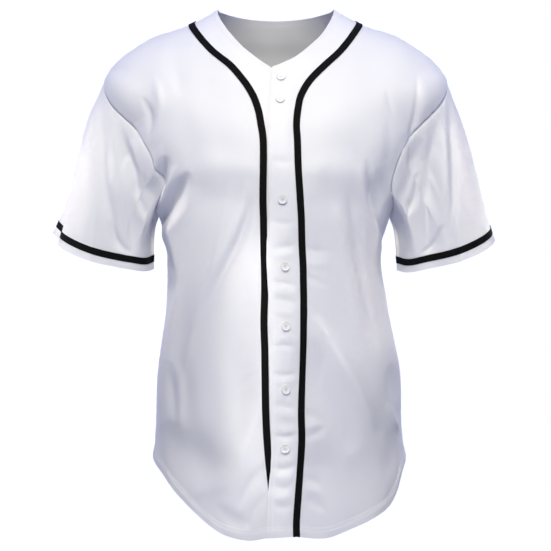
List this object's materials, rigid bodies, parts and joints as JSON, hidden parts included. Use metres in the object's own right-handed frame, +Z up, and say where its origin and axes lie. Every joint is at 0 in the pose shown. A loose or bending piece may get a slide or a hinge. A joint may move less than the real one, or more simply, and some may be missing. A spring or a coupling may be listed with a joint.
{
  "type": "baseball jersey",
  "caption": "Short-sleeved button-front jersey in white knit, with black braid down both fronts and a black stripe round each sleeve, kept in its hollow worn form.",
  "frame": {"origin": "midway between the two high points of the neck, where the shoulders carry the jersey", "axes": "+Z up the body, -Y out of the front, +X towards the wearer's left"},
  "size_m": [0.638, 0.2767, 0.7697],
  "materials": {
    "white_knit": "smooth polyester knit",
    "black_braid": "flat woven braid",
    "button": "polished"
  },
  "bodies": {
    "root": {"back_panel": "white_knit", "left_front_panel": "white_knit", "right_front_panel": "white_knit", "left_front_band": "white_knit", "right_front_band": "white_knit", "left_sleeve": "white_knit", "right_sleeve": "white_knit", "left_front_braid": "black_braid", "right_front_braid": "black_braid", "left_sleeve_stripe": "black_braid", "right_sleeve_stripe": "black_braid", "button_1": "button", "button_2": "button", "button_3": "button", "button_4": "button", "button_5": "button", "button_6": "button", "button_7": "button"}
  },
  "joints": []
}
